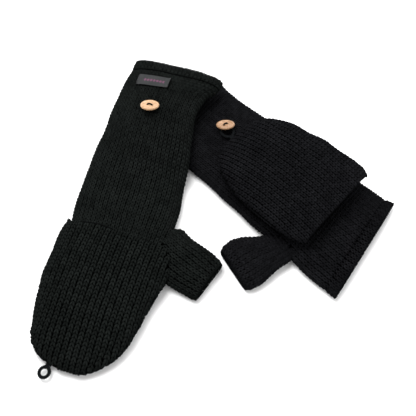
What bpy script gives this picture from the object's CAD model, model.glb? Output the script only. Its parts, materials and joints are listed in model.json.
import math

import bmesh
import bpy
import numpy as np
from mathutils import Matrix, Vector
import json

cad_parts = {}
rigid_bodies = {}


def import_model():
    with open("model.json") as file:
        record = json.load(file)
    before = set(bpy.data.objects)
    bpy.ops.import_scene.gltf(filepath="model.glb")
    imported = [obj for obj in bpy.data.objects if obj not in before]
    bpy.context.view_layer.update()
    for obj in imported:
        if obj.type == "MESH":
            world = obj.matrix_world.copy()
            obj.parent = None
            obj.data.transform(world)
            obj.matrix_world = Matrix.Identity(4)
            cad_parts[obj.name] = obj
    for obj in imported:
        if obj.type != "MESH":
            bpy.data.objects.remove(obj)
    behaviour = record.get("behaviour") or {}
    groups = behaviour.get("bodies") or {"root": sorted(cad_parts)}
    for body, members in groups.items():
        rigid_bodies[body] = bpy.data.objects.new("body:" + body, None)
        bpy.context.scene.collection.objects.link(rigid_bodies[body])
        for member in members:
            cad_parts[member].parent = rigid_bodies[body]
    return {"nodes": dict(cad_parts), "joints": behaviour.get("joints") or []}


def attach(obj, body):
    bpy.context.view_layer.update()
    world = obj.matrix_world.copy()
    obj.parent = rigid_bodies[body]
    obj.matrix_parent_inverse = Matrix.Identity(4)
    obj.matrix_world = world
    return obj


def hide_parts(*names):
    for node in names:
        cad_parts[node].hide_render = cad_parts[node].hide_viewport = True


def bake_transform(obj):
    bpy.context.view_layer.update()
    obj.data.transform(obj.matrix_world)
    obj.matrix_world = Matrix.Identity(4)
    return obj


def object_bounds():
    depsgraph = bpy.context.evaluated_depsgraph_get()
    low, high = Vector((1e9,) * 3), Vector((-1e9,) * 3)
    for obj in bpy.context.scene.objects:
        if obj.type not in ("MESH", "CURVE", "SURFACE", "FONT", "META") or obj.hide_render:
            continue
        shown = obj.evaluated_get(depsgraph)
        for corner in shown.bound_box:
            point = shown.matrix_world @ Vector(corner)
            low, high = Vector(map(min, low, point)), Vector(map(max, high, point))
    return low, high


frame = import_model()
cadLow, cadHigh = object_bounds()
print("frame loaded:", len(frame["nodes"]), "nodes")

mm = 0.001
scene = bpy.context.scene

# Each mitten has its own frame: x across the hand towards the thumb, y along it towards the fingers, with the
# hood's hinge at y = 0. A row is y, left edge, right edge, underside, top, tilt and skew, in mm and degrees.
rightMitten = {
    "side": "right",
    "flipJoint": "right_hood_flip",
    "hingeHeight": 26.7,
    "cuffEnd": -180,
    "hand": [
        (-180, -47, 47, 15.2, 35.2, 11, 0.1),
        (-169, -48, 46, 15.6, 35.6, 11, 0.08),
        (-154, -49, 36, 16, 36.4, 11, 0.03),
        (-134, -49.5, 33, 15.8, 36.6, 11, 0),
        (-112, -50, 36, 13.4, 35.4, 10, 0),
        (-88, -50.5, 39, 7, 30.5, 6, 0),
        (-60, -51, 42, 0, 25, 0, 0),
        (-35, -51, 44.5, 0, 23.5, 0, 0),
        (-12, -48, 45, 5.2, 24, 0, 0),
        (0, -46, 44.5, 6, 24, 0, 0),
        (20, -44, 44, 6, 22.5, 0, 0),
        (36, -43, 43.5, 6, 21.5, 0, 0),
        (47, -42.5, 43, 6, 21, 0, 0),
    ],
    "thumbRoot": (33.8, -2.6),
    "thumbHeading": 18,
    "thumb": [
        (0, -15, 20, 5, 18, 0, 0),
        (11, -20, 27.5, 6, 19.5, 0, 0),
        (22, -23.5, 25.5, 3, 20.5, 0, 0),
        (36, -24, 25.2, 1, 19, 0, 0),
        (50, -23, 24.2, 0.8, 17.5, 0, 0),
        (58.5, -21, 21.5, 0.8, 16.5, 0, 0),
    ],
    "hoodPoints": 1,
    "hood": [
        (-8, -51, 50, 0, 28, 0, 0),
        (2, -52, 55, 0, 28.4, 0, 0),
        (12, -52.5, 58.5, 0, 30, 0, 0),
        (32, -52.5, 54, 0, 32, 0, 0),
        (54, -51.5, 49, 0, 32, 0, 0),
        (76, -49.5, 45.5, 0, 30.5, 0, 0),
        (94, -46.5, 41.5, 0, 27, 0, 0),
        (107, -43, 36, 0.3, 23.5, 0, 0),
        (117, -37.5, 28, 1, 20.5, 0, 0),
        (124.5, -29, 20, 2.2, 17.5, 0, 0),
        (128.5, -18, 14.5, 4, 14.5, 0, 0),
        (131, -7, 9, 6.5, 12, 0, 0),
    ],
}

leftMitten = {
    "side": "left",
    "flipJoint": "left_hood_flip",
    "hingeHeight": 22.2,
    "cuffEnd": -180,
    "hand": [
        (-180, -50, 45, 0, 15.2, 0, 0),
        (-169, -47.5, 45, 0, 15.2, 0, 0),
        (-154, -44.5, 45.5, 0, 15.4, 0, 0),
        (-128, -43.5, 46.5, 0, 17.4, 0, 0),
        (-102, -44.5, 48, 0, 20.5, 0, 0),
        (-76, -44, 51, 0, 22.3, 0, 0),
        (-50, -44.5, 53, 0, 22.5, 0, 0),
        (-24, -45.5, 54.5, 0, 21.5, 0, 0),
        (0, -46.5, 57, 0.4, 19.5, 0, 0),
        (20, -48, 60, 0.8, 16.8, 0, 0.08),
        (36, -49.5, 61, 0.8, 15.8, 0, 0.13),
        (47, -51, 61, 0.8, 15.6, 0, 0.158),
    ],
    "thumbRoot": (44, -12.5),
    "thumbHeading": -18,
    "thumb": [
        (0, -16, 11, 4, 16, 0, 0),
        (12, -20, 13, 4, 17, 0, 0),
        (22, -20.5, 17, 3, 18, 0, 0),
        (34, -23.5, 24, 1, 18, 0, 0),
        (44, -25.5, 26.5, 0.8, 17.5, 0, 0),
        (50, -25, 25.5, 0.8, 17, 0, 0),
        (57, -22, 22, 0.8, 16.5, 0, 0),
    ],
    "hoodPoints": -1,
    "hood": [
        (-8, -46, 43, 19.5, 37, 0, 0),
        (2, -50, 49, 20.6, 40, 0, 0),
        (12, -49, 52, 21.8, 43, 0, 0),
        (30, -46.5, 53, 23.2, 46, 0, 0),
        (52, -44, 52.5, 24, 47.5, 0, 0),
        (72, -42, 49.5, 23.8, 46, 0, 0),
        (88, -38.5, 44.5, 23, 42.5, 0, 0),
        (99, -33, 37.5, 22, 38.5, 0, 0),
        (107, -25.5, 28.5, 21, 34, 0, 0),
        (111.5, -16, 19, 20.4, 30, 0, 0),
        (114, -5, 10, 20.2, 26, 0, 0),
    ],
}

for mitten in (rightMitten, leftMitten):
    flip = next(j for j in frame["joints"] if j["name"] == mitten["flipJoint"])
    across = -Vector(flip["axis"])  # the flip turns about the line across the hand
    along = Vector((0, 0, 1)).cross(across) * (-1 if mitten["side"] == "right" else 1)
    mitten["axes"] = np.array([across, along, (0, 0, 1)])
    mitten["origin"] = np.array([*flip["pos_m"][:2], flip["pos_m"][2] - mitten["hingeHeight"] * mm])


def toScene(mitten, points):  # a mitten's mm to scene metres
    return np.asarray(points, float) * mm @ mitten["axes"] + mitten["origin"]


# ---- camera and light ----
view = {"target": (-0.0096, 0.0069, -0.0004), "elevation": 62, "distance": 1.0, "lens": 94.07}
cam = bpy.data.objects.new("camera", bpy.data.cameras.new("camera"))
scene.collection.objects.link(cam)
cam.data.lens = view["lens"]
cam.data.sensor_width = 36
tip = math.radians(view["elevation"])
back = Vector((0, -math.cos(tip), math.sin(tip)))
cam.location = Vector(view["target"]) + back * view["distance"]
cam.rotation_euler = (-back).to_track_quat("-Z", "Y").to_euler()
scene.camera = cam

studio = {"world": 0.7, "key": 24.0, "fill": 5.0, "rim": 7.0, "floor": 0.93}


def softLight(name, size, power, place):
    lamp = bpy.data.lights.new(name, "AREA")
    lamp.shape = "DISK"
    lamp.size = size
    lamp.energy = power
    obj = bpy.data.objects.new(name, lamp)
    obj.location = place
    obj.rotation_euler = (-Vector(place)).to_track_quat("-Z", "Y").to_euler()
    scene.collection.objects.link(obj)


softLight("key", 0.9, studio["key"], (-0.35, 0.25, 1.3))
softLight("fill", 1.2, studio["fill"], (0.9, -0.6, 0.9))
softLight("rim", 0.7, studio["rim"], (0.5, 0.9, 0.7))
world = bpy.data.worlds.new("studio")
scene.world = world
world.use_nodes = True
world.node_tree.nodes["Background"].inputs["Color"].default_value = (1, 1, 1, 1)
world.node_tree.nodes["Background"].inputs["Strength"].default_value = studio["world"]
scene.view_settings.view_transform = "Standard"


# ---- soft surfaces ----
bulge = {"over": 2.4, "under": 3.4, "edgeHeight": 0.42, "pressedFlat": 0.4}


def smoothRows(rows, at):  # the columns of a table of rows, eased from one row to the next without overshoot
    table = np.asarray(rows, float)
    stops, values = table[:, 0], table[:, 1:]
    at = np.clip(at, stops[0], stops[-1])
    i = np.clip(np.searchsorted(stops, at, side="right") - 1, 0, len(stops) - 2)
    step = np.diff(stops)
    rise = np.diff(values, axis=0) / step[:, None]
    slope = np.zeros_like(values)
    same = rise[:-1] * rise[1:] > 0
    slope[1:-1] = np.where(same, 2 * rise[:-1] * rise[1:] / np.where(same, rise[:-1] + rise[1:], 1), 0)
    slope[0], slope[-1] = rise[0], rise[-1]
    h = step[i][..., None]
    t = ((at - stops[i]) / step[i])[..., None]
    ends = (2 * t**3 - 3 * t**2 + 1) * values[i] + (3 * t**2 - 2 * t**3) * values[i + 1]
    return np.moveaxis(ends + h * ((t**3 - 2 * t**2 + t) * slope[i] + (t**3 - t**2) * slope[i + 1]), -1, 0)


def powered(value, power):
    return np.sign(value) * np.abs(value) ** power


def tubeSkin(rows, y, turn, inset):  # points of a soft tube lying down, the turn running from x+ over the top
    y, turn, inset = np.broadcast_arrays(*(np.asarray(v, float) for v in (y, turn, inset)))
    left, right, bottom, top, tilt, skew = smoothRows(rows, y)
    c, k = np.cos(turn), np.sin(turn)
    power = np.where(k >= 0, 2 / bulge["over"], 2 / bulge["under"])
    middle = bottom + bulge["edgeHeight"] * (top - bottom)
    across = ((right - left) / 2 - inset) * powered(c, power)
    rise = np.where(k >= 0, top - middle, middle - bottom) - inset
    up = np.maximum(rise * powered(k, power), bottom + np.maximum(inset, 0) + bulge["pressedFlat"] - middle)
    lean = np.radians(tilt)
    aside = across * np.cos(lean) - up * np.sin(lean)
    beyond = y - np.clip(y, rows[0][0], rows[-1][0])
    ahead = np.clip(y, rows[0][0], rows[-1][0]) + beyond + skew * aside
    return np.stack([(left + right) / 2 + aside, ahead, middle + across * np.sin(lean) + up * np.cos(lean)], -1)


def hoodSkin(mitten, rows, out, turn, inset):  # points of the hood, a pocket that closes towards its tip
    out, turn, inset = np.broadcast_arrays(*(np.asarray(v, float) for v in (out, turn, inset)))
    length = rows[-1][0]
    widest = max((row[2] - row[1]) / 2 for row in rows)
    left, right, bottom, top, tilt, skew = smoothRows(rows, out)
    past = np.maximum(out - length, 0)  # beyond the tip the skin turns over towards the seam
    reach = np.where(out > 0, np.minimum(out, length) * (length - inset) / length, out) + 0.4 * past
    c, k = np.cos(turn), np.sin(turn)
    upper = (k >= 0) == (mitten["hoodPoints"] > 0)
    power = np.where(upper, 2 / bulge["over"], 2 / bulge["under"])
    middle = bottom + bulge["edgeHeight"] * (top - bottom)
    rise = np.where(k >= 0, top - middle, middle - bottom)
    full, shared = rise - inset, rise / 2 - inset / 6
    half = (right - left) / 2 * (1 - inset / widest)
    up = np.maximum(full, shared) * powered(k, power)
    up = np.sign(up) * np.maximum(np.abs(up) - 1.4 * past, 0)
    flat = np.where(full > shared, bottom + inset + bulge["pressedFlat"], 0)
    x = (left + right) / 2 + half * powered(c, power)
    return np.stack([x, reach * mitten["hoodPoints"], np.maximum(middle + up, flat)], -1)


def alongProfile(profile, share):  # a path of (y, inset) stops, carried straight on past its two ends
    stops = np.asarray(profile, float)
    run = np.concatenate([[0], np.cumsum(np.hypot(*np.diff(stops, axis=0).T))])
    at = np.asarray(share, float) * run[-1]
    inside = np.clip(at, 0, run[-1])
    y = np.interp(inside, run, stops[:, 0])
    inset = np.interp(inside, run, stops[:, 1])
    first, last = stops[1] - stops[0], stops[-1] - stops[-2]
    first, last = first / np.linalg.norm(first), last / np.linalg.norm(last)
    y += np.minimum(at, 0) * first[0] + np.maximum(at - run[-1], 0) * last[0]
    inset += np.minimum(at, 0) * first[1] + np.maximum(at - run[-1], 0) * last[1]
    return y, inset


def profileLength(profile):
    return float(np.hypot(*np.diff(np.asarray(profile, float), axis=0).T).sum())


def evenTurns(section, share):  # turns at even steps of length round a section, from under its middle
    turn = -math.pi / 2 + np.linspace(0, 2 * math.pi, 721)
    run = np.concatenate([[0], np.cumsum(np.linalg.norm(np.diff(section(turn), axis=0), axis=1))])
    return np.interp(np.asarray(share) % 1, run / run[-1], turn)


def thumbToHand(mitten, points):
    turn = math.radians(mitten["thumbHeading"] - 90)
    c, s = math.cos(turn), math.sin(turn)
    x, y, z = np.moveaxis(np.asarray(points, float), -1, 0)
    root = mitten["thumbRoot"]
    return np.stack([root[0] + c * x - s * y, root[1] + s * x + c * y, z], -1)


def handToThumb(mitten, points):
    turn = math.radians(mitten["thumbHeading"] - 90)
    c, s = math.cos(turn), math.sin(turn)
    x, y, z = np.moveaxis(np.asarray(points, float), -1, 0)
    x, y = x - mitten["thumbRoot"][0], y - mitten["thumbRoot"][1]
    return np.stack([c * x + s * y, -s * x + c * y, z], -1)


def insideTube(rows, points, inset):  # how far within a tube's skin: below 1 is inside
    x, y, z = np.moveaxis(np.asarray(points, float), -1, 0)
    left, right, bottom, top, tilt, skew = smoothRows(rows, y)
    middle = bottom + bulge["edgeHeight"] * (top - bottom)
    lean = np.radians(tilt)
    dx, dz = x - (left + right) / 2, z - middle
    across, up = dx * np.cos(lean) + dz * np.sin(lean), dz * np.cos(lean) - dx * np.sin(lean)
    over = up >= 0
    power = np.where(over, bulge["over"], bulge["under"])
    rise = np.where(over, top - middle, middle - bottom) - inset
    size = (np.abs(across) / ((right - left) / 2 - inset)) ** power + (np.abs(up) / rise) ** power
    return np.where((y > rows[0][0]) & (y < rows[-1][0]), size, 9.0)


def ripple(u, v, size, seed, waves=5):  # slow unevenness of hand-worn wool, in mm, repeating once round in u
    dice = np.random.default_rng(seed)
    total = np.zeros(np.broadcast(u, v).shape)
    for _ in range(waves):
        total += np.sin(2 * math.pi * (dice.integers(1, 5) * u + dice.uniform(0.5, 3.5) * v + dice.uniform()))
    return size * total / math.sqrt(waves)


# ---- meshes from grids ----
def meshFromGrid(name, points, loopU=False, loopV=False, capEnds=False):
    nv, nu = points.shape[:2]
    index = np.arange(nv * nu).reshape(nv, nu)
    faces = []
    for j in range(nv if loopV else nv - 1):
        for i in range(nu if loopU else nu - 1):
            a, b = index[j, i], index[j, (i + 1) % nu]
            c, d = index[(j + 1) % nv, (i + 1) % nu], index[(j + 1) % nv, i]
            faces.append((int(a), int(b), int(c), int(d)))
    if capEnds:  # a plate's ring runs out over one face and back under the other
        half = nu // 2
        for j, turned in ((0, True), (nv - 1, False)):
            for i in range(half - 1):
                quad = (index[j, i], index[j, i + 1], index[j, nu - 2 - i], index[j, nu - 1 - i])
                faces.append(tuple(int(k) for k in (quad[::-1] if turned else quad)))
    mesh = bpy.data.meshes.new(name)
    mesh.from_pydata([tuple(p) for p in points.reshape(-1, 3)], [], faces)
    mesh.shade_smooth()
    mesh.update()
    return mesh


def facesOut(mesh):
    work = bmesh.new()
    work.from_mesh(mesh)
    bmesh.ops.remove_doubles(work, verts=work.verts, dist=1e-7)
    bmesh.ops.recalc_face_normals(work, faces=work.faces)
    if work.calc_volume(signed=True) < 0:
        bmesh.ops.reverse_faces(work, faces=work.faces)
    work.to_mesh(mesh)
    work.free()
    return mesh


def newPiece(name, mesh, material=None):
    obj = bpy.data.objects.new(name, mesh)
    scene.collection.objects.link(obj)
    if material:
        mesh.materials.clear()
        mesh.materials.append(material)
    return obj


def settled(obj):  # the evaluated object as a plain mesh, its modifiers gone
    bpy.context.view_layer.update()
    made = bpy.data.meshes.new_from_object(obj.evaluated_get(bpy.context.evaluated_depsgraph_get()))
    obj.modifiers.clear()
    old = obj.data
    obj.data = made
    made.name = obj.name
    if old.users == 0:
        bpy.data.meshes.remove(old)
    return obj


def cutFrom(obj, *cutters):
    for cutter in cutters:
        cut = obj.modifiers.new("cut", "BOOLEAN")
        cut.operation = "DIFFERENCE"
        cut.solver = "EXACT"
        cut.object = cutter
    settled(obj)
    return obj


# ---- node trees ----
def addNode(tree, kind, links=(), **settings):  # links are (input, socket or value)
    made = tree.nodes.new(kind)
    for key, value in settings.items():
        setattr(made, key, value)
    for slot, value in links:
        socket = made.inputs[slot] if isinstance(slot, int) else next(
            s for s in made.inputs if s.enabled and s.name == slot)
        if isinstance(value, bpy.types.NodeSocket):
            tree.links.new(value, socket)
        else:
            socket.default_value = value
    return made


def out(made, name=None):
    if name is None:
        return next(s for s in made.outputs if s.enabled)
    return next(s for s in made.outputs if s.enabled and s.name == name)


def named(tree, attribute, kind="FLOAT_VECTOR"):
    return out(addNode(tree, "GeometryNodeInputNamedAttribute", [("Name", attribute)], data_type=kind))


def position(tree):
    return out(addNode(tree, "GeometryNodeInputPosition"))


def vectorMaths(tree, kind, first, second):
    return out(addNode(tree, "ShaderNodeVectorMath", [
        (0, first), ("Scale" if kind == "SCALE" else 1, second)], operation=kind))


def maths(tree, kind, *values, **settings):
    return out(addNode(tree, "ShaderNodeMath", enumerate(values), operation=kind, **settings))


def geometryTree(name, inputs):
    tree = bpy.data.node_groups.new(name, "GeometryNodeTree")
    tree.interface.new_socket("Geometry", in_out="INPUT", socket_type="NodeSocketGeometry")
    for label, kind, value in inputs:
        socket = tree.interface.new_socket(label, in_out="INPUT", socket_type="NodeSocket" + kind)
        if value is not None:
            socket.default_value = value
    tree.interface.new_socket("Geometry", in_out="OUTPUT", socket_type="NodeSocketGeometry")
    return tree, tree.nodes.new("NodeGroupInput"), tree.nodes.new("NodeGroupOutput")


def giveTree(obj, tree, **values):
    modifier = obj.modifiers.new(tree.name, "NODES")
    modifier.node_group = tree
    identifiers = {s.name: s.identifier for s in tree.interface.items_tree if s.in_out == "INPUT"}
    for label, value in values.items():
        modifier[identifiers[label]] = value
    return modifier


# Knitting: one V of yarn per cell of a guide surface, bent to follow it.
guideMargin = 1.5  # cells that a guide runs on past each end of its knitting


def buildKnitTree():
    tree, given, result = geometryTree("knitWrap", [
        ("guide", "Object", None), ("stitch", "Object", None), ("wales", "Int", 20), ("courses", "Int", 20),
        ("unevenness", "Float", 0.04), ("seed", "Int", 1), ("yarn", "Material", None)])
    wales, courses = given.outputs["wales"], given.outputs["courses"]
    lessOne = [maths(tree, "SUBTRACT", n, 1.0) for n in (wales, courses)]
    halves = [maths(tree, "MULTIPLY", n, 0.5) for n in (wales, courses)]
    grid = addNode(tree, "GeometryNodeMeshGrid", [
        ("Size X", lessOne[0]), ("Size Y", lessOne[1]), ("Vertices X", wales), ("Vertices Y", courses)])
    shift = addNode(tree, "ShaderNodeCombineXYZ", [("X", halves[0]), ("Y", halves[1])])
    cells = addNode(tree, "GeometryNodeSetPosition", [("Geometry", out(grid, "Mesh")), ("Offset", out(shift))])
    guide, stitch = (addNode(tree, "GeometryNodeObjectInfo", [("Object", given.outputs[label])],
                             transform_space="ORIGINAL") for label in ("guide", "stitch"))
    guideMap = named(tree, "cell")
    wide = [maths(tree, "ADD", n, 2 * guideMargin) for n in (wales, courses)]
    extent = addNode(tree, "ShaderNodeCombineXYZ", [("X", wide[0]), ("Y", wide[1]), ("Z", 1.0)])

    def onGuide(attribute, kind, nudge=0.0, atHome=False):
        place, margin = named(tree, "home") if atHome else position(tree), guideMargin + nudge
        share = vectorMaths(tree, "DIVIDE", vectorMaths(tree, "ADD", place, (margin, margin, 0)), out(extent))
        value = position(tree) if attribute == "place" else named(tree, attribute, kind)
        return addNode(tree, "GeometryNodeSampleUVSurface", [
            ("Mesh", out(guide, "Geometry")), ("Value", value), ("UV Map", guideMap),
            ("Sample UV", share)], data_type=kind)

    def either(first, other):
        return out(addNode(tree, "GeometryNodeSwitch", [
            ("Switch", out(first, "Is Valid")), ("False", other), ("True", out(first, "Value"))],
            input_type="VECTOR"))

    def surely(attribute):  # a point on an edge of the guide may be missed, and past its end it stays at home
        beside = onGuide(attribute, "FLOAT_VECTOR", 0.013)
        home = onGuide(attribute, "FLOAT_VECTOR", atHome=True)
        return either(onGuide(attribute, "FLOAT_VECTOR"), either(beside, out(home, "Value")))

    keep = onGuide("keep", "FLOAT")
    valid = maths(tree, "MULTIPLY", out(keep, "Value"), out(keep, "Is Valid"))
    drop = addNode(tree, "FunctionNodeCompare", [("A", valid), ("B", 0.5)],
                   data_type="FLOAT", operation="LESS_THAN")
    kept = addNode(tree, "GeometryNodeDeleteGeometry", [
        ("Geometry", out(cells)), ("Selection", out(drop))], domain="POINT")
    homed = addNode(tree, "GeometryNodeStoreNamedAttribute", [
        ("Geometry", out(kept)), ("Name", "home"), ("Value", position(tree))],
        data_type="FLOAT_VECTOR", domain="POINT")
    seed = given.outputs["seed"]
    reach = maths(tree, "MULTIPLY", given.outputs["unevenness"], -1.0)
    wobble = addNode(tree, "FunctionNodeRandomValue", [
        ("Min", reach), ("Max", given.outputs["unevenness"]), ("Seed", seed)], data_type="FLOAT_VECTOR")
    uneven = addNode(tree, "GeometryNodeSetPosition", [("Geometry", out(homed)), ("Offset", out(wobble))])
    flat = vectorMaths(tree, "MULTIPLY", position(tree), (1, 1, 0))
    level = addNode(tree, "GeometryNodeSetPosition", [("Geometry", out(uneven)), ("Position", flat)])
    plump = addNode(tree, "FunctionNodeRandomValue", [
        ("Min", (0.94, 0.96, 0.85)), ("Max", (1.06, 1.04, 1.15)), ("Seed", seed)], data_type="FLOAT_VECTOR")
    rows = addNode(tree, "GeometryNodeInstanceOnPoints", [
        ("Points", out(level)), ("Instance", out(stitch, "Geometry")), ("Scale", out(plump))])
    shade = addNode(tree, "FunctionNodeRandomValue", [("Min", 0.68), ("Max", 1.0), ("Seed", seed)],
                    data_type="FLOAT")
    toned = addNode(tree, "GeometryNodeStoreNamedAttribute", [
        ("Geometry", out(rows)), ("Name", "tone"), ("Value", out(shade))], data_type="FLOAT", domain="INSTANCE")
    loose = addNode(tree, "GeometryNodeRealizeInstances", [("Geometry", out(toned))])
    skin, facing = surely("place"), surely("facing")
    height = addNode(tree, "ShaderNodeSeparateXYZ", [("Vector", position(tree))])
    bent = vectorMaths(tree, "ADD", skin, vectorMaths(tree, "SCALE", facing, height.outputs["Z"]))
    knitted = addNode(tree, "GeometryNodeSetPosition", [("Geometry", out(loose)), ("Position", bent)])
    joined = addNode(tree, "GeometryNodeJoinGeometry")
    tree.links.new(given.outputs["Geometry"], joined.inputs[0])
    tree.links.new(out(knitted), joined.inputs[0])
    real = addNode(tree, "GeometryNodeRealizeInstances", [("Geometry", out(joined))])
    finished = addNode(tree, "GeometryNodeSetMaterial", [
        ("Geometry", out(real)), ("Material", given.outputs["yarn"])])
    tree.links.new(out(finished), result.inputs["Geometry"])
    return tree


knitTree = buildKnitTree()


def yarnStrand(work, centres, radii, sides, uvLayer, stretch=(1, 1, 1)):  # a short closed strand
    rings = []
    count = len(centres)
    for i, (centre, radius) in enumerate(zip(centres, radii)):
        ahead = (centres[min(i + 1, count - 1)] - centres[max(i - 1, 0)]).normalized()
        aside = ahead.cross(Vector((0, 0, 1))).normalized()
        up = aside.cross(ahead)
        if radius == 0:
            rings.append([work.verts.new(centre)])
            continue
        steps = [2 * math.pi * k / sides for k in range(sides)]
        rings.append([work.verts.new(centre + radius * (math.cos(a) * aside + math.sin(a) * up)) for a in steps])
    for i in range(count - 1):
        low, high = rings[i], rings[i + 1]
        for k in range(sides):
            corners = [(low, k, i), (low, k + 1, i), (high, k + 1, i + 1), (high, k, i + 1)]
            if 1 in (len(low), len(high)):  # a closed tip
                corners = [c for n, c in enumerate(corners) if not (len(c[0]) == 1 and n in (1, 3))]
            face = work.faces.new([ring[m % len(ring)] for ring, m, _ in corners])
            face.smooth = True
            for loop, (_, m, n) in zip(face.loops, corners):
                loop[uvLayer].uv = (m / sides, n / (count - 1))
    for ring in rings:
        for vert in ring:
            vert.co = Vector(vert.co[j] * stretch[j] for j in range(3))


def stitchTemplate(name, wale, course, radius, sides=5, rings=3):  # x and y in cells, z in metres
    work = bmesh.new()
    uvLayer = work.loops.layers.uv.new("yarn")
    stops = np.array([(0.03, -0.74, -0.9), (0.13, -0.3, 0.25), (0.27, 0.24, 0.4), (0.38, 0.76, -0.9)])
    t = np.concatenate([[0], np.linspace(0.12, 0.88, rings), [1]])
    line = np.stack([np.interp(t, (0, 0.3, 0.65, 1), stops[:, j]) for j in range(3)], -1)
    radii = [0, *(float(radius * (1 - 0.18 * abs(2 * s - 1))) for s in np.linspace(0, 1, rings)), 0]
    for side in (-1, 1):
        centres = [Vector((side * x * wale, y * course, z * radius)) for x, y, z in line.tolist()]
        yarnStrand(work, centres, radii, sides, uvLayer, (1 / wale, 1 / course, mm))
    bmesh.ops.recalc_face_normals(work, faces=work.faces)
    mesh = bpy.data.meshes.new(name)
    work.to_mesh(mesh)
    work.free()
    return newPiece(name, mesh)


def guideFrom(name, points, cells, keep, wales, courses):  # an unseen surface that the stitches follow
    mesh = meshFromGrid(name, points)
    across, ahead = np.gradient(points, axis=1), np.gradient(points, axis=0)
    facing = np.cross(across, ahead)
    facing /= np.maximum(np.linalg.norm(facing, axis=-1, keepdims=True), 1e-12)
    share = np.zeros(points.shape)
    share[..., 0] = (cells[..., 0] + guideMargin) / (wales + 2 * guideMargin)
    share[..., 1] = (cells[..., 1] + guideMargin) / (courses + 2 * guideMargin)
    for label, kind, values in (
            ("facing", "FLOAT_VECTOR", facing), ("cell", "FLOAT_VECTOR", share), ("keep", "FLOAT", keep)):
        attribute = mesh.attributes.new(label, kind, "POINT")
        attribute.data.foreach_set("vector" if kind == "FLOAT_VECTOR" else "value", values.astype(np.float32).ravel())
    return newPiece(name, mesh)


def knit(name, base, guide, stitch, wales, courses, yarn, seed, unevenness=0.05):
    obj = newPiece(name, base)
    giveTree(obj, knitTree, guide=guide, stitch=stitch, wales=wales, courses=courses, seed=seed, yarn=yarn,
             unevenness=unevenness)
    settled(obj)
    bpy.data.objects.remove(guide)
    bpy.data.objects.remove(stitch)
    print(name, len(obj.data.polygons), "faces")
    return obj


# ---- knitted tubes and panels ----
def turnedRound(points, cells, keep, wales):  # the same cells, facing the other way
    cells = cells[:, ::-1].copy()
    cells[..., 0] = wales - cells[..., 0]
    return points[:, ::-1], cells, keep[:, ::-1]


def offFloor(turn):  # nothing ripples where the wool lies flat on the floor
    return np.clip(1.2 + 1.6 * np.sin(turn), 0, 1)


def tubeGrid(shape, u, y, inset):  # rings of a tube at even steps round it
    rows = shape["rows"]
    turns = np.stack([evenTurns(lambda t: tubeSkin(rows, at, t, 0), u) for at in y])
    bump = ripple(u[None, :], y[:, None] / 120, shape["wrinkle"], shape["seed"])
    bump = bump + shape.get("ribHeight", 0) * np.cos(2 * math.pi * shape.get("ribs", 0) * u[None, :])
    bump = bump * offFloor(turns)
    return shape["place"](tubeSkin(rows, y[:, None], turns, inset[:, None] - bump))


def tubeWall(name, shape, start, end, outer, inner, cutters=()):  # the closed wall under the stitches
    y = np.linspace(start, end, max(3, int((end - start) / 4)))
    both = np.concatenate([y, y[::-1]])
    inset = np.repeat([outer, inner], len(y))
    points = tubeGrid(shape, np.arange(80) / 80, both, inset)
    wall = newPiece(name + "Wall", facesOut(meshFromGrid(name, points, loopU=True, loopV=True)))
    if cutters:
        cutFrom(wall, *cutters)
    mesh = wall.data
    bpy.data.objects.remove(wall)
    return mesh


def knitTube(name, shape, profile, wall, yarn, radius, dropped=None):
    wales, rows = shape["wales"], shape["rows"]
    courses = max(2, round(profileLength(profile) / shape["course"]))
    u = np.linspace(-1.5, wales + 1.5, 2 * wales + 7)
    v = np.linspace(-1.5, courses + 1.5, 2 * courses + 7)
    y, inset = alongProfile(profile, v / courses)
    points = tubeGrid(shape, u / wales, y, inset)
    middleLine = tubeGrid(shape, u / wales, y, np.full_like(y, 5.0))
    centre = middleLine.mean(axis=1, keepdims=True)
    cells = np.stack(np.broadcast_arrays(u[None, :], v[:, None]), -1)
    keep = np.ones(cells.shape[:2])
    if dropped is not None:
        keep = np.where(dropped(points) < 1, 0.0, 1.0)
    ring = np.linalg.norm(np.diff(points[len(v) // 2], axis=0), axis=1).mean() * 2 / mm
    # where a hem turns inwards its cells face the middle, so only the part that faces out tells which way round
    tells = slice(None) if inset[-1] < 2.2 else slice(0, len(v) // 3)
    tells = tells if inset[0] < 2.2 else slice(2 * len(v) // 3, None)
    across, ahead = np.gradient(points, axis=1), np.gradient(points, axis=0)
    if (np.cross(across, ahead) * (points - centre))[tells].sum() < 0:
        points, cells, keep = turnedRound(points, cells, keep, wales)
    guide = guideFrom(name + "Guide", points, cells, keep, wales, courses)
    stitch = stitchTemplate(name + "Stitch", ring, profileLength(profile) / courses, radius)
    return knit(name, wall, guide, stitch, wales, courses, yarn, shape["seed"])


def panelSection(mitten, rows, reach, upper, inset):  # a fine section of a hood panel, and its run from x = 0
    start = 0.0 if upper else math.pi
    turn = start + np.linspace(-0.5, math.pi + 0.5, 241)
    line = hoodSkin(mitten, rows, reach, turn, inset)
    run = np.concatenate([[0], np.cumsum(np.linalg.norm(np.diff(line, axis=0), axis=1))])
    inner = slice(40, 201)  # without the steps past its two edges
    x, along = line[inner, 0], run[inner]
    zero = np.interp(0, x[::-1], along[::-1]) if upper else np.interp(0, x, along)
    return turn, line, (run - zero) * (-1 if upper else 1)


def worn(shape, line, reach, turn):  # a section of a hood panel with its ripples, groove and shifted edge
    x = line[:, 0]
    lift = ripple(x / 130 + 0.5, reach / 110, shape["wrinkle"], shape["seed"]) * offFloor(turn)
    if "groove" in shape:
        lift = lift - shape["groove"](x, reach, turn)
    outward = np.stack([np.cos(turn), np.zeros(len(turn)), np.sin(turn)], -1)
    moved = line + outward * lift[:, None]
    if "shift" in shape:
        moved[:, 1] += shape["shift"](x, reach)
    return moved


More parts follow.
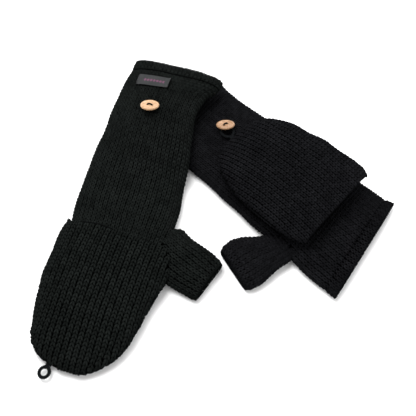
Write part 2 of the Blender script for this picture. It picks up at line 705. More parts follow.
def knitPanel(name, mitten, shape, profile, yarn, radius):
    rows, upper, wale, course = shape["rows"], shape["upper"], shape["wale"], shape["course"]
    fine = np.linspace(0, 1, 200)
    outs, insets = alongProfile(profile, fine)
    crown = hoodSkin(mitten, rows, outs, math.pi / 2 if upper else -math.pi / 2, insets)
    crownRun = np.concatenate([[0], np.cumsum(np.linalg.norm(np.diff(crown, axis=0), axis=1))])
    courses = max(2, round(crownRun[-1] / course))
    share = np.interp(np.linspace(0, crownRun[-1], 2 * courses + 1), crownRun, fine)
    step = 1.5 / courses
    share = np.concatenate([-step * np.array([1, 0.67, 0.33]), share, 1 + step * np.array([0.33, 0.67, 1])])
    v = np.concatenate([
        [-1.5, -1, -0.5], np.linspace(0, courses, 2 * courses + 1), courses + np.array([0.5, 1, 1.5])])
    outs, insets = alongProfile(profile, share)
    points, runs, turns = [], [], []
    pick = np.linspace(0, 240, 97).astype(int)
    for reach, inset in zip(outs, insets):
        turn, line, run = panelSection(mitten, rows, reach, upper, inset)
        points.append(worn(shape, line[pick], reach, turn[pick]))
        runs.append(run[pick])
        turns.append(turn[pick])
    points, runs, turns = np.array(points), np.array(runs), np.array(turns)
    start = 0.0 if upper else math.pi
    within = (turns > start + 0.03) & (turns < start + math.pi - 0.03)
    half = math.ceil(np.abs(runs[within]).max() / wale)
    wales = 2 * half
    cells = np.stack([runs / wale + half, np.broadcast_to(v[:, None], runs.shape)], -1)
    keep = np.where(within & (outs[:, None] < rows[-1][0] - 0.5), 1.0, 0.0)
    centre = points[within].mean(axis=0)
    centre[2] = rows[len(rows) // 2][3] * 0.5 + rows[len(rows) // 2][4] * 0.5
    points = toScene(mitten, points)
    across, ahead = np.gradient(points, axis=1), np.gradient(points, axis=0)
    facing = np.cross(across, ahead)
    tells = slice(len(outs) // 3, None)
    if (facing * (points - toScene(mitten, centre)))[tells][..., 2].sum() < 0:
        points, cells, keep = turnedRound(points, cells, keep, wales)
    if "dropped" in shape:
        keep = np.where(shape["dropped"](points) < 1, 0.0, keep)
    guide = guideFrom(name + "Guide", points, cells, keep, wales, courses)
    stitch = stitchTemplate(name + "Stitch", wale, crownRun[-1] / courses, radius, sides=6, rings=4)
    wall = panelWall(name, mitten, shape, shape["wallFrom"])
    if "dropped" in shape:
        thumbPlug, whole = plug(mitten, "thumb", -0.9), newPiece(name + "Wall", wall)
        wall = cutFrom(whole, thumbPlug).data
        bpy.data.objects.remove(whole)
        bpy.data.objects.remove(thumbPlug)
    return knit(name, wall, guide, stitch, wales, courses, yarn, shape["seed"])


def panelWall(name, mitten, shape, start, outer=1.9, inner=3.2, seamTurn=0.035):
    rows, upper = shape["rows"], shape["upper"]
    end = rows[-1][0]
    towardsTip = end - 14 + 13.4 * np.sin(np.linspace(0.1, 1, 10) * math.pi / 2)
    outs = np.concatenate([np.linspace(start, end - 14, 28), towardsTip])
    turn = (0.0 if upper else math.pi) + seamTurn + np.linspace(0, math.pi - 2 * seamTurn, 49)
    rings = []
    for reach in outs:
        faces = []
        for inset, order in ((outer, slice(None)), (inner, slice(None, None, -1))):
            t = turn[order]
            faces.append(worn(shape, hoodSkin(mitten, rows, reach, t, inset), reach, t))
        rings.append(np.concatenate(faces))
    points = toScene(mitten, np.array(rings))
    return facesOut(meshFromGrid(name, points, loopU=True, capEnds=True))


# ---- materials ----
def newMaterial(name):
    made = bpy.data.materials.new(name)
    made.use_nodes = True
    made.node_tree.nodes.clear()
    return made, made.node_tree, addNode(made.node_tree, "ShaderNodeTexCoord").outputs["Object"]


def noise(tree, place, scale, detail=2.0, roughness=0.5):
    return addNode(tree, "ShaderNodeTexNoise", [
        ("Vector", place), ("Scale", scale), ("Detail", detail), ("Roughness", roughness)]).outputs["Fac"]


def ramp(tree, factor, low, high, start=0.0, end=1.0):
    made = addNode(tree, "ShaderNodeValToRGB", [("Fac", factor)])
    for element, position, colour in zip(made.color_ramp.elements, (start, end), (low, high)):
        element.position, element.color = position, (*colour, 1)
    return made.outputs["Color"]


def bump(tree, strength, distance, height, over=()):  # over holds the bump beneath it, if there is one
    return out(addNode(tree, "ShaderNodeBump", [
        ("Strength", strength), ("Distance", distance), ("Height", height), *(("Normal", below) for below in over)]))


def surface(tree, colour, roughness, normal=None, **fixed):
    shader = addNode(tree, "ShaderNodeBsdfPrincipled", [
        ("Base Color", colour), ("Roughness", roughness), *([("Normal", normal)] if normal else [])])
    for key, value in fixed.items():
        shader.inputs[key.replace("_", " ")].default_value = value
    result = addNode(tree, "ShaderNodeOutputMaterial")
    tree.links.new(shader.outputs["BSDF"], result.inputs["Surface"])


def woolMaterial(name, dark, light):
    made, tree, place = newMaterial(name)
    tone = addNode(tree, "ShaderNodeAttribute", attribute_name="tone").outputs["Fac"]
    strand = addNode(tree, "ShaderNodeUVMap", uv_map="yarn").outputs["UV"]
    span = addNode(tree, "ShaderNodeSeparateXYZ", [("Vector", strand)]).outputs
    fibre = noise(tree, place, 1500.0, 3.0, 0.7)
    patch = noise(tree, place, 40.0, 4.0)
    wound = maths(tree, "ADD", maths(tree, "MULTIPLY", span["X"], 2.0), maths(tree, "MULTIPLY", span["Y"], 3.5))
    plies = maths(tree, "SINE", maths(tree, "MULTIPLY", wound, 2 * math.pi))
    arch = maths(tree, "MULTIPLY", span["Y"], maths(tree, "MULTIPLY_ADD", span["Y"], -1.0, 1.0))
    crown = maths(tree, "MULTIPLY", arch, 4.4, use_clamp=True)  # a strand darkens towards its two ends
    lit = maths(tree, "MULTIPLY", maths(tree, "MULTIPLY", tone, crown), fibre)
    colour = ramp(tree, maths(tree, "MULTIPLY_ADD", patch, 0.3, lit), dark, light, 0.2, 0.9)
    rough = bump(tree, 0.5, 0.0003, fibre)
    surface(tree, colour, 0.92, bump(tree, 0.6, 0.00035, plies, [rough]), Specular_IOR_Level=0.0)
    return made


wool = {
    "right": woolMaterial("woolRight", (0.0002, 0.0002, 0.0002), (0.0130, 0.0152, 0.0142)),
    "left": woolMaterial("woolLeft", (0.0002, 0.0002, 0.0002), (0.0122, 0.0124, 0.0140)),
}


def fleeceMaterial():
    made, tree, place = newMaterial("fleeceLining")
    pile = noise(tree, place, 700.0, 5.0, 0.75)
    clumps = addNode(tree, "ShaderNodeTexVoronoi", [("Vector", place), ("Scale", 420.0)]).outputs["Distance"]
    colour = ramp(tree, pile, (0.004, 0.0042, 0.0045), (0.017, 0.0175, 0.018))
    nap = bump(tree, 0.7, 0.0006, clumps)
    surface(tree, colour, 1.0, bump(tree, 0.5, 0.0004, pile, [nap]), Specular_IOR_Level=0.05, Sheen_Weight=0.02,
            Sheen_Roughness=0.5)
    return made


def yarnMaterial(name, dark, light):
    made, tree, place = newMaterial(name)
    fibre = noise(tree, place, 1800.0, 3.0, 0.7)
    colour = ramp(tree, fibre, dark, light, 0.3, 0.75)
    surface(tree, colour, 0.85, bump(tree, 0.6, 0.0002, fibre), Specular_IOR_Level=0.0)
    return made


def coconutMaterial(name, pale, brown, dark):
    made, tree, place = newMaterial(name)
    long = out(addNode(tree, "ShaderNodeMapping", [("Vector", place), ("Scale", (1, 3.2, 1))]))
    cloud = noise(tree, long, 170.0, 6.0, 0.65)
    grain = noise(tree, long, 900.0, 3.0)
    mixed = addNode(tree, "ShaderNodeMix", [
        ("Factor", 0.75), ("A", ramp(tree, cloud, brown, pale, 0.32, 0.68)),
        ("B", ramp(tree, grain, dark, (1, 1, 1), 0.34, 0.46))], data_type="RGBA", blend_type="MULTIPLY")
    polish = maths(tree, "MULTIPLY_ADD", cloud, 0.3, 0.3)
    surface(tree, out(mixed, "Result"), polish, bump(tree, 0.25, 0.0001, grain), Specular_IOR_Level=0.45)
    return made


def labelMaterial():  # woven satin: a row of small diamonds
    made, tree, _ = newMaterial("labelCloth")
    weave = addNode(tree, "ShaderNodeUVMap", uv_map="weave").outputs["UV"]
    parts = addNode(tree, "ShaderNodeSeparateXYZ", [("Vector", weave)]).outputs
    u, v = parts["X"], parts["Y"]  # both in mm
    middle, diamondWidth, firstDiamond, lastDiamond = 5.75, 3.1, 6.0, 27.0
    repeat = maths(tree, "FRACT", maths(tree, "MULTIPLY", u, 1 / diamondWidth))
    step = maths(tree, "ABSOLUTE", maths(tree, "SUBTRACT", repeat, 0.5))
    height = maths(tree, "ABSOLUTE", maths(tree, "SUBTRACT", v, middle))
    diamond = maths(tree, "ADD", maths(tree, "MULTIPLY", step, 2.4), maths(tree, "MULTIPLY", height, 0.55))
    outline = maths(tree, "LESS_THAN", maths(tree, "ABSOLUTE", maths(tree, "SUBTRACT", diamond, 0.62)), 0.3)
    starts, stops = maths(tree, "GREATER_THAN", u, firstDiamond), maths(tree, "LESS_THAN", u, lastDiamond)
    row = maths(tree, "MULTIPLY", maths(tree, "MULTIPLY", starts, stops), maths(tree, "LESS_THAN", height, 2.0))
    mark = maths(tree, "MULTIPLY", outline, row)
    thread, pick = (addNode(tree, "ShaderNodeTexWave", [("Vector", weave), ("Scale", scale)], bands_direction=way)
                    for scale, way in ((1.6, "X"), (1.1, "Y")))
    cloth = addNode(tree, "ShaderNodeMix", [
        ("Factor", mark), ("A", (0.013, 0.0145, 0.0155, 1)), ("B", (0.17, 0.052, 0.115, 1))], data_type="RGBA")
    shade = addNode(tree, "ShaderNodeMix", [
        ("Factor", 0.35), ("A", out(cloth, "Result")), ("B", thread.outputs["Color"])],
        data_type="RGBA", blend_type="MULTIPLY")
    woven = bump(tree, 0.5, 0.00012, maths(tree, "ADD", thread.outputs["Fac"], pick.outputs["Fac"]))
    surface(tree, out(shade, "Result"), 0.6, woven, Specular_IOR_Level=0.3, Sheen_Weight=0.01)
    return made


fleece = fleeceMaterial()
seamYarn = yarnMaterial("seamYarn", (0.0004, 0.0004, 0.0004), (0.0045, 0.005, 0.005))
loopYarn = yarnMaterial("loopYarn", (0.001, 0.0011, 0.0012), (0.013, 0.0145, 0.0155))
blackThread = yarnMaterial("blackThread", (0.001, 0.001, 0.001), (0.009, 0.009, 0.0095))
coconut = {
    "right": coconutMaterial("coconutPale", (0.58, 0.37, 0.22), (0.36, 0.2, 0.105), (0.2, 0.12, 0.07)),
    "left": coconutMaterial("coconutBrown", (0.42, 0.25, 0.14), (0.21, 0.11, 0.055), (0.14, 0.08, 0.045)),
}
labelCloth = labelMaterial()
print("materials made")


# ---- what belongs to each mitten ----
def tubeOf(mitten, part, **more):
    onThumb = part == "thumb"
    place = (lambda p: toScene(mitten, thumbToHand(mitten, p))) if onThumb else (lambda p: toScene(mitten, p))
    return {"rows": mitten[part], "place": place, **more}


def fromScene(mitten, points):
    return (np.asarray(points) - mitten["origin"]) @ mitten["axes"].T / mm


def inThumb(mitten, inset):
    return lambda points: insideTube(mitten["thumb"], handToThumb(mitten, fromScene(mitten, points)), inset)


def inHand(mitten, inset):
    return lambda points: insideTube(mitten["hand"], fromScene(mitten, points), inset)


def plug(mitten, part, inset):  # a solid that fills a tube, to cut its way through a wall
    shape = tubeOf(mitten, part, wrinkle=0.0, seed=1)
    y = np.linspace(mitten[part][0][0] - 0.01, mitten[part][-1][0] + 0.01, 24)
    points = tubeGrid(shape, np.arange(48) / 48, y, np.full(24, float(inset)))
    work = bmesh.new()
    rings = [[work.verts.new(p) for p in ring] for ring in points]
    for low, high in zip(rings, rings[1:]):
        for i in range(48):
            work.faces.new((low[i], low[(i + 1) % 48], high[(i + 1) % 48], high[i]))
    work.faces.new(rings[0][::-1])
    work.faces.new(rings[-1])
    mesh = bpy.data.meshes.new("plug")
    work.to_mesh(mesh)
    work.free()
    return newPiece("plug", facesOut(mesh))


def standsFor(piece, mitten, body, node):
    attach(piece, mitten["side"] + "_" + body)
    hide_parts(mitten["side"] + "_" + node)
    return piece


def bendsAtThumb(piece, mitten, node):
    side = mitten["side"]
    start, end = (toScene(mitten, thumbToHand(mitten, (0, y, 9))) for y in mitten["thumbBend"])
    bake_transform(piece)
    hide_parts(side + "_" + node)
    return piece


def twistedCord(name, path, radius, material, lobes=3, pitch=4.0, depth=0.22, step=0.45, sides=18, closed=False):
    path = np.asarray(path, float)  # mm
    if closed:
        path = np.concatenate([path, path[:1]])
    run = np.concatenate([[0], np.cumsum(np.linalg.norm(np.diff(path, axis=0), axis=1))])
    count = max(6, int(run[-1] / step))
    at = np.linspace(0, run[-1], count + 1)[: None if not closed else -1]
    line = np.stack([np.interp(at, run, path[:, k]) for k in range(3)], -1)
    ahead = np.gradient(line, axis=0)
    if closed:
        ahead = np.roll(line, -1, axis=0) - np.roll(line, 1, axis=0)
    ahead /= np.linalg.norm(ahead, axis=1, keepdims=True)
    side = np.cross(ahead, (0.02, 0.01, 1))
    side /= np.linalg.norm(side, axis=1, keepdims=True)
    up = np.cross(side, ahead)
    turn = np.arange(sides) / sides * 2 * math.pi
    wind = round(run[-1] / pitch) * 2 * math.pi if closed else run[-1] / pitch * 2 * math.pi
    phase = at / run[-1] * wind
    lobe = np.abs(np.cos(lobes * (turn[None, :] - phase[:, None]) / 2))
    thick = radius * (1 - depth + depth * 1.6 * lobe - depth * 0.6)
    ends = np.ones(len(at))
    if not closed:
        ends = np.sqrt(np.clip(1 - (1 - np.clip(np.minimum(at, run[-1] - at) / radius, 0, 1)) ** 2, 0.02, 1))
    ring = np.cos(turn)[None, :, None] * side[:, None, :] + np.sin(turn)[None, :, None] * up[:, None, :]
    points = line[:, None, :] + ring * (thick * ends[:, None])[..., None]
    mesh = meshFromGrid(name, points * mm, loopU=True, loopV=closed)
    work = bmesh.new()
    work.from_mesh(mesh)
    if not closed:
        bmesh.ops.holes_fill(work, edges=[e for e in work.edges if e.is_boundary], sides=sides)
    for face in work.faces:
        face.smooth = True
    bmesh.ops.recalc_face_normals(work, faces=work.faces)
    work.to_mesh(mesh)
    work.free()
    return newPiece(name, mesh, material)


def placed(obj, mitten):  # puts a mesh made in the mitten's own frame, already in metres, in its place
    points = np.array([v.co for v in obj.data.vertices]) @ mitten["axes"] + mitten["origin"]
    obj.data.vertices.foreach_set("co", points.astype(np.float32).ravel())
    if np.linalg.det(mitten["axes"]) < 0:
        obj.data.flip_normals()
    obj.data.update()
    return obj


def hems(mitten):
    cuff, finger, thumb = mitten["cuffEnd"], 47, mitten["thumb"][-1][0]
    return {
        "cuff": [(cuff + 8.6, 2.6), (cuff + 1.7, 2.6), (cuff + 0.6, 2.25), (cuff + 0.6, 1.5), (cuff + 1.7, 1.15),
                 (cuff + 8.6, 1.15), (cuff + 10.7, 2.45)],
        "finger": [(finger - 10.8, 2.5), (finger - 8.8, 1.2), (finger - 1.7, 1.2), (finger - 0.6, 1.55),
                   (finger - 0.6, 2.25), (finger - 1.7, 2.6), (finger - 8.6, 2.6)],
        "thumb": [(thumb - 7.8, 2.0), (thumb - 6.5, 1.3), (thumb - 1.7, 1.3), (thumb - 0.6, 1.6),
                  (thumb - 0.6, 2.25), (thumb - 1.7, 2.6), (thumb - 7, 2.6)],
    }


def handOf(mitten, knitting):
    side, cuff, end = mitten["side"], mitten["cuffEnd"], mitten["thumb"][-1][0]
    hem, knitSlot = hems(mitten), "wool_knit"
    tubes = {part: tubeOf(mitten, part, **knitting[part]) for part in ("hand", "thumb")}
    plugs = {part: plug(mitten, part, 3.2) for part in ("thumb", "hand")}

    def knitted(label, part, profile, wallSpan, insets=(1.9, 3.2), cutBy=None, dropped=None):
        name = side + "_" + label
        wall = tubeWall(name, tubes[part], *wallSpan, *insets, [plugs[cutBy]] if cutBy else ())
        return knitTube(name, tubes[part], profile, wall, wool[side], knitting["radius"], dropped)

    def fleeced(label, part, span, cutBy):
        name = side + "_" + label
        return newPiece(name, liningWall(name, tubes[part], *span, [plug(mitten, cutBy, 4.9)]), fleece)

    standsFor(knitted("cuff_hem", "hand", hem["cuff"], (cuff + 1.3, cuff + 10.7), (1.55, 2.2)),
              mitten, "hand", "cuff_band")
    standsFor(knitted("hand_knit", "hand", [(cuff + 10.9, 2.45), (cuff + 12.8, 1.5), (-0.1, 1.5)],
                      (cuff + 10.8, -0.2), cutBy="thumb", dropped=inThumb(mitten, 1.5)),
              mitten, "hand", "hand_shell")
    standsFor(knitted("finger_knit", "hand", [(0.1, 1.5), (33.9, 1.5), (35.8, 2.5)],
                      (0.1, 35.8), cutBy="thumb", dropped=inThumb(mitten, 1.5)),
              mitten, "hand", "finger_sleeve")
    standsFor(knitted("finger_hem", "hand", hem["finger"], (36.2, 45.8), (1.55, 2.2)),
              mitten, "hand", "finger_band")
    standsFor(fleeced("hand_fleece", "hand", (cuff + 9.2, 39), "thumb"), mitten, "hand", "hand_lining")
    bendsAtThumb(knitted("thumb_knit", "thumb", [(0.2, 1.5), (end - 9.6, 1.5), (end - 8.2, 2.1)],
                         (0.5, end - 8.2), cutBy="hand", dropped=inHand(mitten, 1.8)),
                 mitten, "thumb_shell")
    standsFor(knitted("thumb_hem", "thumb", hem["thumb"], (end - 7.8, end - 1.3), (1.6, 2.2)),
              mitten, "thumb", "thumb_band")
    bendsAtThumb(fleeced("thumb_fleece", "thumb", (0.5, end - 6.5), "hand"), mitten, "thumb_lining")
    for obj in [o for o in scene.objects if o.name.startswith("plug")]:
        bpy.data.objects.remove(obj)


def liningWall(name, shape, start, end, cutters):  # brushed fleece, lumpy where it faces the hand
    y = np.linspace(start, end, max(6, int((end - start) / 2.2)))
    dice = np.random.default_rng(shape["seed"] + 50)
    around = 150
    smooth = tubeGrid(shape, np.arange(around) / around, np.concatenate([y, y[::-1]]), np.repeat([3.6, 4.7], len(y)))
    deeper = tubeGrid(shape, np.arange(around) / around, y[::-1], np.full(len(y), 5.1))
    push = dice.random((len(y), around, 1)) * (np.abs(np.linspace(-1, 1, len(y))) < 0.99)[:, None, None]
    smooth[len(y):] += (deeper - smooth[len(y):]) * push
    lining = newPiece(name + "Wall", facesOut(meshFromGrid(name, smooth, loopU=True, loopV=True)))
    cutFrom(lining, *cutters)
    mesh = lining.data
    mesh.name = name
    bpy.data.objects.remove(lining)
    return mesh


def hoodOf(mitten, knitting):
    side, yarn = mitten["side"], wool[mitten["side"]]
    rows, length = mitten["hood"], mitten["hood"][-1][0]
    backUp = mitten["hoodPoints"] > 0
    for part, upper in (("back", backUp), ("palm", not backUp)):
        own = knitting[part]
        shape = {"rows": rows, "upper": upper, **{k: knitting[k] for k in ("wale", "course", "wrinkle")}, **own}
        name = side + "_hood_" + part + "_knit"
        piece = knitPanel(name, mitten, shape, own["profile"] + [(length, 1.5)], yarn, radius=knitting["radius"])
        standsFor(piece, mitten, "hood", "hood_" + part)
    towardsTip = length - 12 + 11 * np.sin(np.linspace(0.05, 1, 14) * math.pi / 2)
    outs = np.concatenate([np.linspace(3, length - 12, 40), towardsTip])
    leftEdge = np.array([hoodSkin(mitten, rows, o, math.pi, 1.7) for o in outs])
    rightEdge = np.array([hoodSkin(mitten, rows, o, 0.0, 1.7) for o in outs if o > knitting["seamFrom"]])
    tipRow = rows[-1]
    tipHeight = tipRow[3] + bulge["edgeHeight"] * (tipRow[4] - tipRow[3])
    tipPoint = [((tipRow[1] + tipRow[2]) / 2, mitten["hoodPoints"] * (length - 1.9), tipHeight)]
    edge = np.concatenate([leftEdge, tipPoint, rightEdge[::-1]])
    seam = twistedCord(side + "_hood_whipping", edge, 0.85, seamYarn, pitch=3.2)
    standsFor(placed(seam, mitten), mitten, "hood", "hood_seam")
    x = np.linspace(-36, 36, 60)
    turnsTop = np.interp(x, *turnsOver(mitten, 0.0))
    line = tubeSkin(mitten["hand"], 0.0, turnsTop, 0.0)
    line[:, 2] += knitting["hingeRise"]
    if "shift" in knitting["back"]:
        line[:, 1] += 0.6 * knitting["back"]["shift"](x, 0.0)
    hinge = twistedCord(side + "_hinge_chain", line, 1.15, seamYarn, lobes=2, pitch=5.0, depth=0.3)
    standsFor(placed(hinge, mitten), mitten, "hand", "hinge_seam")


def turnsOver(mitten, y):  # x against turn over the back of the hand, x rising
    turn = np.linspace(math.pi - 0.02, 0.02, 200)
    return tubeSkin(mitten["hand"], y, turn, 0.0)[:, 0], turn


def onBack(mitten, x, y, rise=0.0):  # the point of the hand's back over (x, y)
    x, y = np.broadcast_arrays(np.asarray(x, float), np.asarray(y, float))
    points = np.empty((*x.shape, 3))
    for index in np.ndindex(x.shape):
        turn = np.interp(x[index], *turnsOver(mitten, float(y[index])))
        points[index] = tubeSkin(mitten["hand"], float(y[index]), turn, 0.0)
    points[..., 2] += rise
    return points


# ---- buttons, loops and label ----
def lathe(name, outline, segments=72, wobble=0.0, seed=1):
    stops = np.asarray(outline, float)
    turn = np.arange(segments) / segments * 2 * math.pi
    dice = np.random.default_rng(seed)
    rim = 1 + wobble * sum(np.sin(k * turn + dice.uniform(0, 6.3)) for k in (2, 3, 5))
    points = np.stack([
        stops[:, None, 0] * np.cos(turn) * rim, stops[:, None, 0] * np.sin(turn) * rim,
        np.broadcast_to(stops[:, None, 1], (len(stops), segments))], -1)
    return newPiece(name, facesOut(meshFromGrid(name, points * mm, loopU=True)))


def easedPath(stops, steps=6):
    stops = np.asarray(stops, float)
    padded = np.concatenate([stops[:1], stops, stops[-1:]])
    t = (np.arange(steps) / steps)[:, None]
    line = [0.5 * (2 * b + (c - a) * t + (2 * a - 5 * b + 4 * c - d) * t**2 + (3 * b - a - 3 * c + d) * t**3)
            for a, b, c, d in zip(padded, padded[1:], padded[2:], padded[3:])]
    return np.concatenate([*line, stops[-1:]])


def easedOutline(stops, steps=6):  # a smooth line through the stops of a lathe's outline
    line = easedPath(stops, steps)
    line[:, 0] = np.maximum(line[:, 0], 0)
    return line


button = {
    "outline": [(0, -1.55), (3.5, -1.6), (7.1, -1.5), (8.3, -0.8), (8.72, 0.2), (8.3, 1.2), (7.4, 1.62), (6.5, 1.6),
                (5.6, 1.15), (4.6, 0.85), (2.5, 0.75), (0, 0.72)],
    "hole": [(0, -3), (1.05, -3), (1.05, 0.3), (1.2, 0.62), (1.75, 1.0), (1.9, 3), (0, 3)],
    "holesApart": 4.4,
    "shank": 4.6,
}


def buttonOf(mitten, body="button"):
    side = mitten["side"]
    joint = next(j for j in frame["joints"] if j["name"] == side + "_button_turn")
    up = Vector(joint["axis"]).normalized()
    aside = Vector(mitten["axes"][0])
    aside = (aside - up * aside.dot(up)).normalized()
    place = Matrix.Translation(Vector(joint["pos_m"])) @ Matrix((aside, up.cross(aside), up)).transposed().to_4x4()
    disc = lathe(side + "_coconut_button", easedOutline(button["outline"]), 84, 0.004, 3 if side == "right" else 4)
    holes = []
    for x in (-1, 1):
        hole = lathe("hole", button["hole"], 28)
        hole.data.transform(Matrix.Translation((x * button["holesApart"] / 2 * mm, 0, 0)))
        holes.append(hole)
    cutFrom(disc, *holes)
    for hole in holes:
        bpy.data.objects.remove(hole)
    disc.data.set_sharp_from_angle(angle=math.radians(38))
    disc.data.transform(place)
    disc.data.materials.clear()
    disc.data.materials.append(coconut[side])
    standsFor(disc, mitten, "button", "button")

    half, seat = button["holesApart"] / 2, -1.6
    rising = [(-0.3, 0, seat - 1.6), (-half * 0.8, 0, seat - 0.4), (-half, 0, seat + 0.6), (-half, 0, 0.7),
              (-half + 0.35, 0.1, 1.35), (-0.8, 0.25, 1.75)]
    bridge = rising + [(-x, -y, z) for x, y, z in rising[::-1]]
    thread = twistedCord(side + "_button_thread_bridge", easedPath(bridge), 0.72, blackThread, lobes=2, pitch=1.8,
                         step=0.2, sides=12)
    thread.data.transform(place)
    standsFor(thread, mitten, "button", "button_thread")
    drops = np.linspace(0.3, button["shank"] - 0.2, 16)
    shank = [(0.2 * math.sin(z * 3), 0.2 * math.cos(z * 3), seat - z) for z in drops]
    wound = twistedCord(side + "_button_shank", shank, 1.55, blackThread, lobes=6, pitch=5.5, depth=0.2, step=0.25,
                        sides=36)
    wound.data.transform(place)
    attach(wound, side + "_button")


loops = {
    "right": {"at": (-18.7, 128.9, 6.5), "length": 12.6, "width": 11, "thick": 1.5, "heading": 10, "slope": 0,
              "tail": 5.0, "tailRise": 1.5, "body": "loop"},
    "left": {"at": (-4.8, -130.6, 19), "length": 17.2, "width": 13, "thick": 1.35, "heading": -18, "slope": 11,
             "tail": 5.0, "tailRise": 1.0, "body": "hood", "closeAtFar": True},
}


def loopOf(mitten, spec):
    side, thick = mitten["side"], spec["thick"]
    reach, wide = spec["length"] / 2 - thick, (spec["length"] / 2 - thick) * spec["width"] / spec["length"]
    far = spec.get("closeAtFar", False)  # the ends go back into the hood at the ring's near or far side
    gap, steps = 14, 49  # in degrees, where the ends go in
    around = np.radians(np.linspace(gap, 360 - gap, steps))
    x, y = wide * np.sin(around), spec["length"] / 2 - reach * np.cos(around)
    if far:
        y = spec["length"] - y
    tailY = np.array([1, 0.5]) * spec["tail"] + spec["length"] if far else np.array([-1, -0.5]) * spec["tail"]
    line = np.concatenate([
        [(1.15, tailY[0], spec["tailRise"]), (1.15, tailY[1], spec["tailRise"] / 2)],
        np.stack([x, y, np.zeros(steps)], -1),
        [(-1.15, tailY[1], spec["tailRise"] / 2), (-1.15, tailY[0], spec["tailRise"])]])
    slope, turn = math.radians(spec["slope"]), math.radians(spec["heading"])
    tilt = np.array([(1, 0, 0), (0, math.cos(slope), math.sin(slope)), (0, -math.sin(slope), math.cos(slope))])
    spin = np.array([(math.cos(turn), math.sin(turn), 0), (-math.sin(turn), math.cos(turn), 0), (0, 0, 1)])
    line = easedPath(line @ tilt @ spin + np.array(spec["at"]), 4)
    plied = thick * 1.12  # the plies' crests stand out past the cord's own radius
    cord = placed(twistedCord(side + "_cord_loop", line, plied, loopYarn, lobes=2, pitch=3.0, depth=0.24, step=0.3,
                              sides=16), mitten)
    path = toScene(mitten, line)
    standsFor(cord, mitten, spec["body"], "button_loop")


label = {"left": -34, "right": -2, "from": -161.5, "to": -150, "thick": 0.55, "lift": 0.75, "curl": 1.3}


def labelOf(mitten, spec):
    across, ahead = 49, 17
    x = np.linspace(spec["left"], spec["right"], across)
    y = np.linspace(spec["from"], spec["to"], ahead)
    gridX, gridY = np.meshgrid(x, y)
    under = onBack(mitten, gridX, gridY, spec["lift"])
    under[..., 2] += spec["curl"] * np.clip((gridX - spec["right"] + 4) / 4, 0, 1) ** 2
    under[..., 2] += 0.25 * np.sin(gridX * 0.35 + 1) * np.sin((gridY - spec["from"]) * 0.4)
    over = under + np.array([0, 0, spec["thick"]])
    ring = np.concatenate([over, under[:, ::-1]], axis=1)
    mesh = meshFromGrid(mitten["side"] + "_label", toScene(mitten, ring), loopU=True, capEnds=True)
    uv = mesh.uv_layers.new(name="weave")
    flatX = np.concatenate([x, x[::-1]]) - spec["left"]
    flat = np.stack(np.meshgrid(flatX, y - spec["from"]), -1).reshape(-1, 2)
    uv.data.foreach_set("uv", flat[[loop.vertex_index for loop in mesh.loops]].astype(np.float32).ravel())
    work = bmesh.new()
    work.from_mesh(mesh)
    bmesh.ops.recalc_face_normals(work, faces=work.faces)
    work.to_mesh(mesh)
    work.free()
    mesh.set_sharp_from_angle(angle=math.radians(50))
    piece = newPiece(mitten["side"] + "_label", mesh, labelCloth)
    standsFor(piece, mitten, "hand", "cuff_label")
    sewn = bmesh.new()
    uvLayer = sewn.loops.layers.uv.new("yarn")
    for end, sign in ((spec["left"], 1), (spec["right"], -1)):
        for y in np.linspace(spec["from"] + 1, spec["to"] - 1, 5):
            first = onBack(mitten, end + sign * 1.3, y, spec["lift"] + spec["thick"] - 0.1)
            last = onBack(mitten, end - sign * 1.2, y + 0.8, -0.3)
            crest = (first + last) / 2 + np.array([0, 0, 0.75 + (spec["curl"] * 0.7 if sign < 0 else 0)])
            line = easedPath([first, crest, last], 4)
            centres = [Vector(toScene(mitten, p)) for p in line]
            yarnStrand(sewn, centres, [0, *[0.00028] * (len(line) - 2), 0], 6, uvLayer)
    bmesh.ops.recalc_face_normals(sewn, faces=sewn.faces)
    stitches = bpy.data.meshes.new("label_stitches")
    sewn.to_mesh(stitches)
    sewn.free()
    threads = newPiece(mitten["side"] + "_label_stitches", stitches, blackThread)
    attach(threads, mitten["side"] + "_hand")


# ---- the right-hand mitten, its hood over the fingers ----
def besideThumb(mitten):
    return lambda points: insideTube(mitten["thumb"], handToThumb(mitten, fromScene(mitten, points)), -1.2)


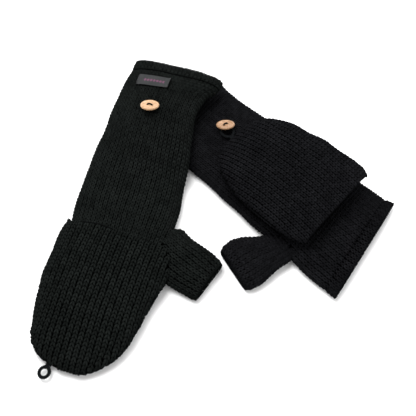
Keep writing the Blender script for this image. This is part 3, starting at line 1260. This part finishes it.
rightMitten["thumbBend"] = (10, 26)
leftMitten["thumbBend"] = (10, 26)
rightKnitting = {
    "radius": 0.95,
    "hand": {"wales": 50, "course": 3.6, "wrinkle": 0.55, "seed": 11},
    "thumb": {"wales": 24, "course": 3.6, "wrinkle": 0.4, "seed": 12},
}
rightHood = {
    "radius": 1.12, "wale": 5.3, "course": 3.75, "wrinkle": 0.5, "seamFrom": 40, "hingeRise": 1.0,
    "back": {
        "seed": 5, "wallFrom": 0.5, "profile": [(-1.5, 1.6), (2, 1.5)],
        "rows": [(-8, -49, 50, 0, 22.5, 0, 0), (-1, -49.5, 51, 0, 25.2, 0, 0), (3, -51.5, 55, 0, 28, 0, 0),
                 (12, -52.5, 58.5, 0, 30.2, 0, 0), *rightMitten["hood"][3:]],
        "shift": lambda x, out: np.exp(-np.maximum(out, 0) / 9) * (
            -4.0 * np.exp(-((x + 20) / 17) ** 2) + 1.0 * np.exp(-((x - 35) / 14) ** 2)),
        "groove": lambda x, out, turn: (
            1.6 * np.exp(-((np.abs(turn) - 0.62) / 0.13) ** 2) * np.clip((out - 66) / 30, 0, 1)),
    },
    "palm": {
        "seed": 6, "wallFrom": -6.3,
        "profile": [(8, 2.7), (-6.2, 2.7), (-7.3, 2.3), (-7.3, 1.5), (-6.2, 1.15), (-3, 1.2), (0, 1.5)],
    },
}
rightHood["back"]["dropped"] = rightHood["palm"]["dropped"] = besideThumb(rightMitten)
handOf(rightMitten, rightKnitting)
hoodOf(rightMitten, rightHood)
buttonOf(rightMitten)
loopOf(rightMitten, loops["right"])
labelOf(rightMitten, label)
print("right-hand mitten made")

# ---- the left-hand mitten, its hood flipped back ----
leftKnitting = {
    "radius": 0.92,
    "hand": {"wales": 54, "course": 3.35, "wrinkle": 0.5, "seed": 21},
    "thumb": {"wales": 28, "course": 3.35, "wrinkle": 0.3, "seed": 22, "ribs": 14, "ribHeight": 0.55},
}
leftHood = {
    "radius": 0.95, "wale": 4.2, "course": 3.3, "wrinkle": 0.6, "seamFrom": 3, "hingeRise": 0.8,
    "back": {"seed": 7, "wallFrom": 1.0, "profile": [(-1, 1.6), (2, 1.5)]},
    "palm": {
        "seed": 8, "wallFrom": -6.3,
        "profile": [(14, 2.7), (-6.2, 2.7), (-7.3, 2.3), (-7.3, 1.5), (-6.2, 1.15), (-3, 1.2), (0, 1.5)],
    },
}
handOf(leftMitten, leftKnitting)
hoodOf(leftMitten, leftHood)
buttonOf(leftMitten)
loopOf(leftMitten, loops["left"])
print("left-hand mitten made")

# ---- the floor, and the end ----
floorCorners = np.array([[(x, y, cadLow.z - 0.0003) for x in (-2.5, 2.5)] for y in (-2.5, 2.5)])
floorMaterial, floorTree, _ = newMaterial("paleFloor")
surface(floorTree, (studio["floor"], studio["floor"], studio["floor"], 1), 0.9)
newPiece("floor", meshFromGrid("floor", floorCorners), floorMaterial)
